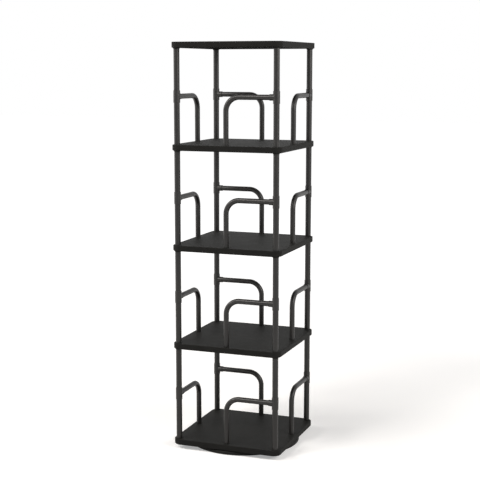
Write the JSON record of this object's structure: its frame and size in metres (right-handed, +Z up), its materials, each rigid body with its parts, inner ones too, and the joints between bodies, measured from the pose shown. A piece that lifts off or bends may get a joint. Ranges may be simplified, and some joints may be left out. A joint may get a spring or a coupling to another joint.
{
  "type": "revolving bookcase",
  "caption": "Floor-standing revolving bookcase: square open tiers on corner posts with bent tube guard rails, turning on a round base.",
  "frame": {"origin": "on the floor, under the middle of the tower, where the turning axis meets it", "axes": "+Z up along the turning axis, -Y towards the front side, +X to the right seen from the front"},
  "size_m": [0.332, 0.332, 1.19],
  "materials": {
    "deck_moulding": "fine moulded texture, matte black",
    "base_moulding": "moulded, satin black",
    "powder_coated_tube": "satin black powder coat on steel tube",
    "tee_moulding": "moulded, satin black",
    "plug_nylon": "moulded nylon",
    "foot_rubber": "matte rubber",
    "zinc_plate": "zinc-plated pressed steel",
    "zinc_screw": "zinc-plated steel",
    "ball_steel": "polished bearing steel",
    "cage_nylon": "natural nylon"
  },
  "bodies": {
    "base": {"base_disc": "base_moulding", "rubber_feet": "foot_rubber", "bearing_lower_plate": "zinc_plate", "bearing_eyelet": "zinc_plate", "bearing_base_screws": "zinc_screw"},
    "ball_ring": {"ball_cage": "cage_nylon", "bearing_balls": "ball_steel"},
    "tower": {"bearing_deck_screws": "zinc_screw", "bearing_upper_plate": "zinc_plate", "deck_bottom": "deck_moulding", "deck_fourth": "deck_moulding", "deck_second": "deck_moulding", "deck_third": "deck_moulding", "deck_top": "deck_moulding", "post_plugs_bottom": "plug_nylon", "post_plugs_middle": "plug_nylon", "post_plugs_top": "plug_nylon", "tier_1_posts_lower": "powder_coated_tube", "tier_1_posts_upper": "powder_coated_tube", "tier_1_rail_back": "powder_coated_tube", "tier_1_rail_front": "powder_coated_tube", "tier_1_rail_left": "powder_coated_tube", "tier_1_rail_right": "powder_coated_tube", "tier_1_tee_back_left": "tee_moulding", "tier_1_tee_back_right": "tee_moulding", "tier_1_tee_front_left": "tee_moulding", "tier_1_tee_front_right": "tee_moulding", "tier_2_posts_lower": "powder_coated_tube", "tier_2_posts_upper": "powder_coated_tube", "tier_2_rail_back": "powder_coated_tube", "tier_2_rail_front": "powder_coated_tube", "tier_2_rail_left": "powder_coated_tube", "tier_2_rail_right": "powder_coated_tube", "tier_2_tee_back_left": "tee_moulding", "tier_2_tee_back_right": "tee_moulding", "tier_2_tee_front_left": "tee_moulding", "tier_2_tee_front_right": "tee_moulding", "tier_3_posts_lower": "powder_coated_tube", "tier_3_posts_upper": "powder_coated_tube", "tier_3_rail_back": "powder_coated_tube", "tier_3_rail_front": "powder_coated_tube", "tier_3_rail_left": "powder_coated_tube", "tier_3_rail_right": "powder_coated_tube", "tier_3_tee_back_left": "tee_moulding", "tier_3_tee_back_right": "tee_moulding", "tier_3_tee_front_left": "tee_moulding", "tier_3_tee_front_right": "tee_moulding", "tier_4_posts_lower": "powder_coated_tube", "tier_4_posts_upper": "powder_coated_tube", "tier_4_rail_back": "powder_coated_tube", "tier_4_rail_front": "powder_coated_tube", "tier_4_rail_left": "powder_coated_tube", "tier_4_rail_right": "powder_coated_tube", "tier_4_tee_back_left": "tee_moulding", "tier_4_tee_back_right": "tee_moulding", "tier_4_tee_front_left": "tee_moulding", "tier_4_tee_front_right": "tee_moulding"}
  },
  "joints": [
    {"name": "turn", "type": "hinge", "parent": "base", "child": "tower", "pos_m": [0, 0, 0.0142], "axis": [0, 0, 1], "continuous": true},
    {"name": "ball_roll", "type": "hinge", "parent": "base", "child": "ball_ring", "pos_m": [0, 0, 0.0142], "axis": [0, 0, 1], "continuous": true}
  ],
  "couplings": [
    {"joint": "ball_roll", "follows": "turn", "ratio": 0.5}
  ]
}
